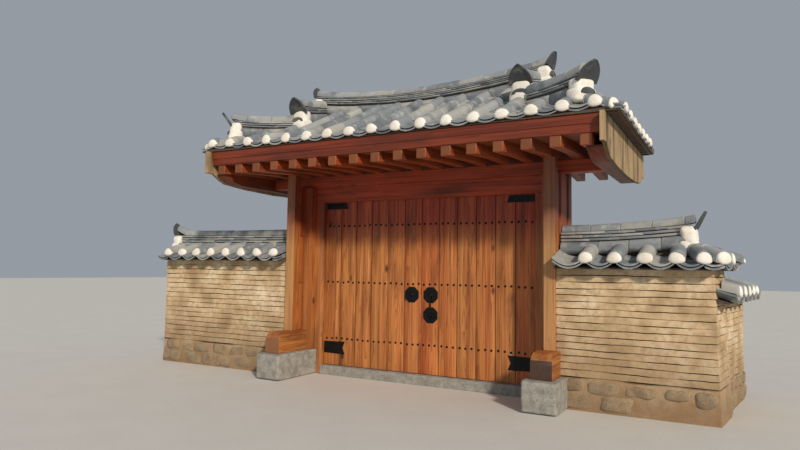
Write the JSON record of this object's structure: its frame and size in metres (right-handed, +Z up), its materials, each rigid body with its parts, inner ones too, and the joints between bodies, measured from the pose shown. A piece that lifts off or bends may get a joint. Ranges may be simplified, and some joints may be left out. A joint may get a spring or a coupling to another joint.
{
  "type": "hanok gatehouse",
  "caption": "Tiled timber gatehouse of a hanok, with two plank doors on pivots, corner ridges on the roof and coped clay walls beside it.",
  "frame": {"origin": "on the ground under the door sill, midway between the two leaves, in the plane of their front faces", "axes": "+X to the right as one faces the doors, +Y in through the doorway, +Z up"},
  "size_m": [8.588, 2.79, 4.2619],
  "materials": {
    "granite": "rough picked grey granite",
    "pine": "oiled and weathered pine with knots",
    "door_pine": "oiled pine boards with an upright grain",
    "weathered_pine": "sun-bleached pine boards",
    "black_iron": "black forged iron",
    "roof_tile": "matt grey fired clay tiles with white plaster at the eaves",
    "clay_wall": "tan clay with thin dark courses and field stones at the foot"
  },
  "bodies": {
    "gate": {"right_pad": "granite", "left_pad": "granite", "door_sill": "granite", "lintel": "pine", "cross_beam": "pine", "joists_and_deck": "pine", "right_main_post": "pine", "left_main_post": "pine", "right_jamb": "pine", "left_jamb": "pine", "right_rail": "pine", "left_rail": "pine", "front_right_block": "pine", "front_left_block": "pine", "rear_right_block": "pine", "rear_left_block": "pine", "front_right_post": "pine", "front_left_post": "pine", "rear_right_post": "pine", "rear_left_post": "pine", "front_right_panel": "pine", "front_left_panel": "pine", "rear_right_panel": "pine", "rear_left_panel": "pine", "right_gable_board": "weathered_pine", "left_gable_board": "weathered_pine", "front_eave_board": "weathered_pine", "rear_eave_board": "weathered_pine", "tiled_roof": "roof_tile", "main_ridge": "roof_tile", "front_right_falling_ridge": "roof_tile", "front_left_falling_ridge": "roof_tile", "rear_right_falling_ridge": "roof_tile", "rear_left_falling_ridge": "roof_tile", "front_right_hip_ridge": "roof_tile", "front_left_hip_ridge": "roof_tile", "rear_right_hip_ridge": "roof_tile", "rear_left_hip_ridge": "roof_tile", "right_coping": "roof_tile", "left_coping": "roof_tile", "return_coping": "roof_tile", "right_wall": "clay_wall", "left_wall": "clay_wall", "return_wall": "clay_wall"},
    "left_door": {"left_leaf": "door_pine", "left_lower_strap": "black_iron", "left_upper_strap": "black_iron", "left_plate": "black_iron"},
    "right_door": {"right_leaf": "door_pine", "right_lower_strap": "black_iron", "right_upper_strap": "black_iron", "right_latch_plate": "black_iron", "right_ring_plate": "black_iron"}
  },
  "joints": [
    {"name": "left_door_hinge", "type": "hinge", "parent": "gate", "child": "left_door", "pos_m": [-1.62, 0.03, 1.3], "axis": [0, 0, 1], "range_deg": [0, 90]},
    {"name": "right_door_hinge", "type": "hinge", "parent": "gate", "child": "right_door", "pos_m": [1.62, 0.03, 1.3], "axis": [0, 0, -1], "range_deg": [0, 90]}
  ]
}
